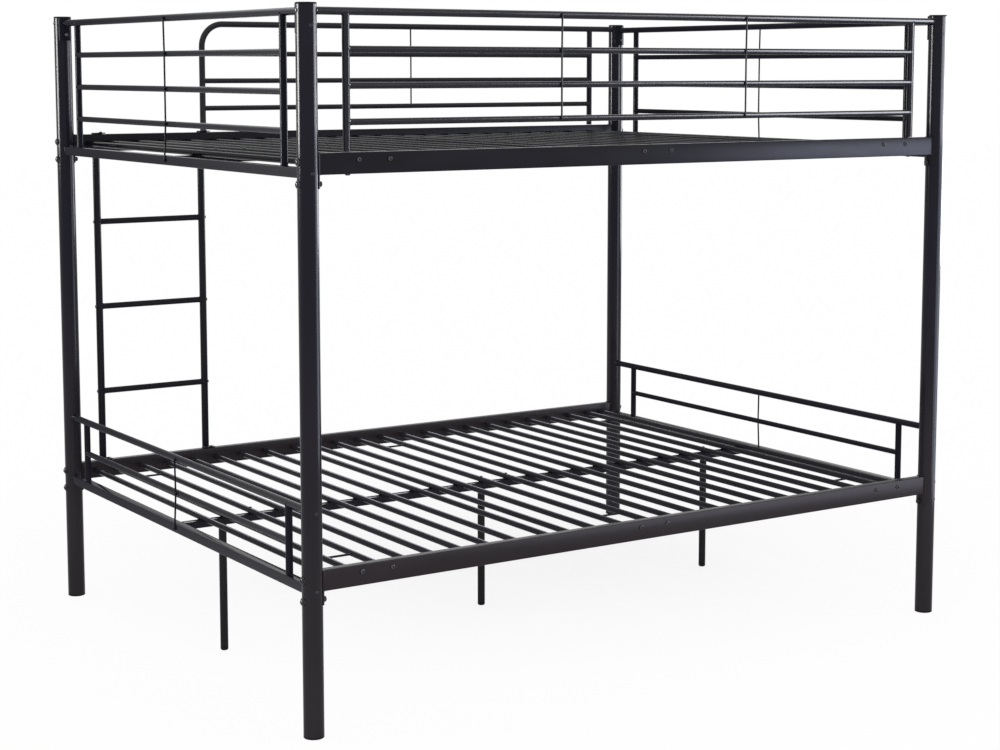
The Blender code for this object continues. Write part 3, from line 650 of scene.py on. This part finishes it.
leg_black = powder_coat("leg powder coat", LEG_BLACK, LEG_ROUGHNESS, streaks=(3, 3, 0.8))
foot_profile = [(FOOT_NOSE - rise, radius) for rise, radius in reversed(rounding(LEG, FOOT_NOSE))]
foot_profile += [(FOOT_TOP - FOOT_EDGE, LEG), (FOOT_TOP, LEG - GAP),
                 (FOOT_TOP, LEG - LEG_WALL), (FOOT_PLUG, LEG - LEG_WALL)]
for name, x in LEG_PLACES.items():
    shape = bmesh.new()
    round_tube(shape, LEG, [(x, 0, LEG_BOTTOM), (x, 0, LEG_TOP)], sides=32)
    made(f"beam_leg_{name}", shape, leg_black, "leg_coat", f"support_leg_{name}")
    shape = bmesh.new()
    turned(shape, (x, 0, 0), foot_profile)
    made(f"beam_leg_foot_{name}", shape, glide_black, "glide_plastic", f"leg_glide_{name}")


# Ladder. Two round steel uprights stand behind the back rails, and three rungs are welded between
# them. A bent steel plate at each rail hooks over its top edge and is bolted down.
LADDER_BLACK = (0.0120, 0.0112, 0.0165)
LADDER_ROUGHNESS = 0.15
LADDER_TUBE = 0.0109
LADDER_Y = 0.8076
LADDER_PLACES = {"left": -0.919, "right": -0.573}
LADDER_FOOT = 0.3715
LADDER_TOP = 1.417
LADDER_SIDE = (UPWARDS, LADDER_TUBE + GAP)
RUNG = 0.009
RUNGS = {"top": 1.1461, "middle": 0.8852, "bottom": 0.6223}
HOOK_WIDTH = 0.034
HOOK_PLATE = 0.003
HOOK_SKIRT = 0.035
HOOK_BEND = 0.0045
HOOK_STEPS = 6


def hook_plate(shape, x, rail_top):
    """Angle plate with a bent corner, seen from its end as a folded strip."""
    face = POST_Y + RAIL_DEPTH / 2 + GAP
    seat = rail_top + GAP
    outline = [(RAIL_INSIDE, seat), (RAIL_INSIDE, seat + HOOK_PLATE)]
    for step in range(HOOK_STEPS + 1):
        turn = math.pi / 2 * step / HOOK_STEPS
        outline.append((face + HOOK_PLATE - HOOK_BEND + HOOK_BEND * math.sin(turn),
                        seat + HOOK_PLATE - HOOK_BEND + HOOK_BEND * math.cos(turn)))
    outline += [(face + HOOK_PLATE, seat - HOOK_SKIRT), (face, seat - HOOK_SKIRT), (face, seat)]
    skin(shape, [[(x + way * HOOK_WIDTH / 2, b, c) for b, c in outline] for way in (-1, 1)])


ladder_black = powder_coat("ladder powder coat", LADDER_BLACK, LADDER_ROUGHNESS,
                           streaks=(3, 3, 0.8))
for side, x in LADDER_PLACES.items():
    shape = bmesh.new()
    round_tube(shape, LADDER_TUBE, [(x, LADDER_Y, LADDER_FOOT), (x, LADDER_Y, LADDER_TOP)],
               sides=40)
    for rail_top in RAIL_TOPS.values():
        hook_plate(shape, x, rail_top)
    made(f"ladder_side_{side}", shape, ladder_black, "ladder_coat", f"ladder_upright_{side}")
for name, height in RUNGS.items():
    shape = bmesh.new()
    between = [(x, LADDER_Y, height) for x in LADDER_PLACES.values()]
    round_tube(shape, RUNG, between, (LADDER_SIDE, LADDER_SIDE), sides=32)
    made(f"ladder_step_{name}", shape, ladder_black, "ladder_coat", f"ladder_rung_{name}")


# Small fasteners. Nickelled screws hold the panels and guards to the posts and the paired slats to
# the side rails and beam, bolts under the upper rails hold what stands on them, and black bolts
# fix the rungs and the ladder's hook plates. Each is pushed a hair into the face that it sits on.
SCREW_STEEL = (0.080, 0.080, 0.088)
SCREW_ROUGHNESS = 0.34
SCREW_METAL = 0.95
SCREW_PEEL = 0.03
PANEL_SCREW_HEIGHTS = (1.711, 1.3665, 0.556, 0.3650)
PANEL_SCREW, PANEL_SCREW_SINK = (0.005, 0.001), 0.001
PANEL_NUT = (0.010, 0.005, 0.001)
GUARD_SCREW_HEIGHT = 1.7455
GUARD_SCREW, GUARD_SCREW_SINK = (0.0055, 0.003), 0.0002
SLAT_SCREW_PLACES = [x for pair in CROSS_FRAMES.values() for x in pair]
SLAT_SCREW_DROP = 0.0185
SIDE_SLAT_SCREW = (0.0064, 0.0038)
BEAM_SLAT_SCREW = (0.005, 0.0025)
UNDER_BOLT_PLACES = (-0.918, 0.918)
UNDER_BOLT = (0.007, 0.004)
RUNG_BOLT, RUNG_BOLT_SINK = (0.0055, 0.003), 0.0003
HOOK_BOLT = (0.005, 0.003)
HOOK_BOLT_ASIDE, HOOK_BOLT_INWARDS = 0.004, 0.006
HOOK_BOLT_RISE = 0.0033

screw_steel = powder_coat("dark nickel screw steel", SCREW_STEEL, SCREW_ROUGHNESS,
                          peel=SCREW_PEEL, metal=SCREW_METAL)
for corner, x_way, y_way in CORNERS:
    shape = bmesh.new()
    x, y = x_way * POST_X, y_way * POST_Y
    for height in PANEL_SCREW_HEIGHTS:
        seat = (x, y + y_way * (POST_RADIUS - PANEL_SCREW_SINK), height)
        button_head(shape, seat, (0, y_way, 0), *PANEL_SCREW)
    behind = (x, y - y_way * SADDLE_OUTSIDE, PANEL_SCREW_HEIGHTS[0])
    nut(shape, behind, (0, -y_way, 0), *PANEL_NUT)
    seat = (x + x_way * (POST_RADIUS - GUARD_SCREW_SINK), y, GUARD_SCREW_HEIGHT)
    button_head(shape, seat, (x_way, 0, 0), *GUARD_SCREW)
    made(f"post_screws_{corner}", shape, screw_steel, "bolt_steel")

for level, rail_top in RAIL_TOPS.items():
    for face, y_way in FACES.items():
        shape = bmesh.new()
        for x in SLAT_SCREW_PLACES:
            seat = (x, y_way * (POST_Y + RAIL_DEPTH / 2), rail_top - SLAT_SCREW_DROP)
            button_head(shape, seat, (0, y_way, 0), *SIDE_SLAT_SCREW)
        if level == "upper":
            for x in UNDER_BOLT_PLACES:
                seat = (x, y_way * POST_Y, rail_top - RAIL_HEIGHT)
                button_head(shape, seat, -UPWARDS, *UNDER_BOLT)
        made(f"rail_screws_{level}_{face}", shape, screw_steel, "bolt_steel")
    shape = bmesh.new()
    for x in SLAT_SCREW_PLACES:
        button_head(shape, (x, 0, rail_top - BEAM_DROP + 2 * SLAT), UPWARDS, *BEAM_SLAT_SCREW)
    made(f"slat_screws_{level}", shape, screw_steel, "bolt_steel")

shape = bmesh.new()
for side, x in LADDER_PLACES.items():
    out = SIDES[side]
    for height in RUNGS.values():
        seat = (x + out * (LADDER_TUBE - RUNG_BOLT_SINK), LADDER_Y, height)
        button_head(shape, seat, (out, 0, 0), *RUNG_BOLT)
made("rung_bolts", shape, bolt_black, "bolt_steel")

shape = bmesh.new()
for rail_top in RAIL_TOPS.values():
    for x in LADDER_PLACES.values():
        seat = (x + HOOK_BOLT_ASIDE, POST_Y - HOOK_BOLT_INWARDS, rail_top + HOOK_BOLT_RISE)
        button_head(shape, seat, UPWARDS, *HOOK_BOLT)
made("hook_plate_bolts", shape, bolt_black, "bolt_steel")


# The floor. A wide sheet of pale matt paper that the bed stands on. The camera sees it nearly
# white. Near the back legs it glows less, so more of the bed's real soft shadow shows, and a faint
# shade is painted there too.
FLOOR_REACH = 30
FLOOR_PALE = (0.95, 0.95, 0.95, 1)
PAINTED_SHADE_CENTRE = (0.6, 1.0, 0)
GLOW_WITH_PAINTED_SHADE = {"From Min": 0.3, "From Max": 2.1, "To Min": 0.74, "To Max": 0.955}

shape = bmesh.new()
corners = [(-1, -1), (1, -1), (1, 1), (-1, 1)]
shape.faces.new([shape.verts.new((a * FLOOR_REACH, b * FLOOR_REACH, 0)) for a, b in corners])
mesh = bpy.data.meshes.new("floor")
shape.to_mesh(mesh)
shape.free()
floor_white = bpy.data.materials.new("pale floor")
floor_white.use_nodes = True
nodes, links = floor_white.node_tree.nodes, floor_white.node_tree.links
nodes.remove(nodes["Principled BSDF"])
matt = nodes.new("ShaderNodeBsdfDiffuse")
matt.inputs["Color"].default_value = FLOOR_PALE
glow = nodes.new("ShaderNodeEmission")
share = nodes.new("ShaderNodeMixShader")
rays = nodes.new("ShaderNodeLightPath")
place = nodes.new("ShaderNodeTexCoord").outputs["Object"]
away = nodes.new("ShaderNodeVectorMath")
away.operation = "DISTANCE"
away.inputs[1].default_value = PAINTED_SHADE_CENTRE
links.new(place, away.inputs[0])
# Painted shade: the glow falls off towards a point behind the bed, darkening the floor there also
# where no shadow falls.
glow_fade_painted_shade = nodes.new("ShaderNodeMapRange")
glow_fade_painted_shade.interpolation_type = "SMOOTHSTEP"
for socket, number in GLOW_WITH_PAINTED_SHADE.items():
    glow_fade_painted_shade.inputs[socket].default_value = number
links.new(away.outputs["Value"], glow_fade_painted_shade.inputs["Value"])
seen = nodes.new("ShaderNodeMath")
seen.operation = "MULTIPLY"
links.new(rays.outputs["Is Camera Ray"], seen.inputs[0])
links.new(glow_fade_painted_shade.outputs["Result"], seen.inputs[1])
links.new(seen.outputs["Value"], share.inputs["Fac"])
links.new(matt.outputs["BSDF"], share.inputs[1])
links.new(glow.outputs["Emission"], share.inputs[2])
links.new(share.outputs["Shader"], nodes["Material Output"].inputs["Surface"])
mesh.materials.append(floor_white)
floor = bpy.data.objects.new("floor", mesh)
bpy.context.scene.collection.objects.link(floor)


# Camera. It stands in front of the bed and to its left, a little below the height of the top
# rails, with a long lens. The lens is shifted only a little, so that other views stay centred.
CAMERA_PLACE = (-3.1779, -4.9129, 1.6101)
CAMERA_DOWN = 6.533
CAMERA_RIGHT = 33.224

eye = bpy.data.cameras.new("camera")
eye.sensor_width = 36
eye.lens = 71.07
eye.shift_x = -0.0045
eye.shift_y = -0.08
eye.clip_end = 100
camera = bpy.data.objects.new("camera", eye)
camera.location = CAMERA_PLACE
camera.rotation_euler = (math.radians(90 - CAMERA_DOWN), 0, math.radians(-CAMERA_RIGHT))
bpy.context.scene.collection.objects.link(camera)
bpy.context.scene.camera = camera


# Studio light. White walls all round, and soft panels whose reflections draw the bright lines on
# the tubes. Each panel is kept for the pieces that catch it, so that flat tops don't flare from
# other sides. A row gives a panel's name, place, width, height, radiance, colour and pieces.
WALL_STRENGTH = 0.95
BACKDROP_STRENGTH = 1
WHITE = (1, 1, 1, 1)
AIM = (-0.3, -0.5)
TUBES = ("corner_post", "end_panel", "ladder_side", "beam_leg")
FASTENERS = ("rail_bolt", "post_screws", "rail_screws", "rung_bolts")
PANELS = (
    ("panel_right", (6.5, 0.2, 2.8), 3.8, 4.6, 13.0, (0.92, 0.94, 1.0), TUBES + FASTENERS),
    ("panel_front_right_high", (2.1, -1.8, 2.2), 1.75, 1.7, 19.0, (0.87, 0.89, 1.0),
     ("corner_post",)),
    ("panel_front_right_low", (2.1, -1.8, 0.70), 1.75, 1.34, 6.5, (0.72, 0.80, 1.0),
     ("corner_post",)),
    ("panel_guard", (2.33, -2.74, 2.3), 0.95, 2.1, 22.0, (0.87, 0.89, 1.0),
     ("guard_frame_front",)),
    ("panel_upper_rail", (2.1, -1.8, 1.24), 1.75, 0.56, 14.0, (0.72, 0.77, 1.0),
     ("side_rail_upper",)),
    ("panel_lower_rail", (1.9, -2.1, 0.70), 2.45, 1.34, 8.0, (0.82, 0.85, 1.0),
     ("side_rail_lower",)),
    ("panel_left", (-5.4, 2.5, 2.3), 2.2, 2.2, 44.0, (1.0, 0.99, 0.97), TUBES + FASTENERS),
    ("panel_back", (-0.4, 6.0, 3.4), 3.0, 1.3, 0.8, (0.80, 0.86, 1.0), ("end_panel",)),
    ("panel_slats", (1.9, 5.6, 3.05), 3.4, 1.5, 6.5, (0.84, 0.88, 1.0),
     ("slat_base_lower", "cross_frame_lower")),
)

world = bpy.data.worlds.new("white studio")
bpy.context.scene.world = world
world.use_nodes = True
nodes, links = world.node_tree.nodes, world.node_tree.links
walls = nodes["Background"]
backdrop = nodes.new("ShaderNodeBackground")
for background, strength in ((walls, WALL_STRENGTH), (backdrop, BACKDROP_STRENGTH)):
    background.inputs["Color"].default_value = WHITE
    background.inputs["Strength"].default_value = strength
rays = nodes.new("ShaderNodeLightPath")
seen = rays.outputs["Is Camera Ray"]
for kind in ("Is Glossy Ray", "Is Transmission Ray"):
    either = nodes.new("ShaderNodeMath")
    either.operation = "MAXIMUM"
    links.new(seen, either.inputs[0])
    links.new(rays.outputs[kind], either.inputs[1])
    seen = either.outputs["Value"]
mix = nodes.new("ShaderNodeMixShader")
links.new(seen, mix.inputs["Fac"])
links.new(walls.outputs["Background"], mix.inputs[1])
links.new(backdrop.outputs["Background"], mix.inputs[2])
links.new(mix.outputs["Shader"], nodes["World Output"].inputs["Surface"])

for name, place, width, height, radiance, colour, lit in PANELS:
    light = bpy.data.lights.new(name, "AREA")
    light.shape = "RECTANGLE"
    light.size = width
    light.size_y = height
    light.color = colour
    light.energy = radiance * width * height * math.pi
    lamp = bpy.data.objects.new(name, light)
    lamp.location = place
    towards = Vector((*AIM, place[2])) - lamp.location
    lamp.rotation_euler = towards.to_track_quat("-Z", "Y").to_euler()
    lamp.visible_diffuse = False
    lamp.visible_camera = False
    bpy.context.scene.collection.objects.link(lamp)
    pieces = bpy.data.collections.new(f"lit by {name}")
    for piece in [piece for piece in bpy.data.objects if piece.name.startswith(lit)]:
        pieces.objects.link(piece)
    lamp.light_linking.receiver_collection = pieces

bpy.context.scene.view_settings.view_transform = "Standard"
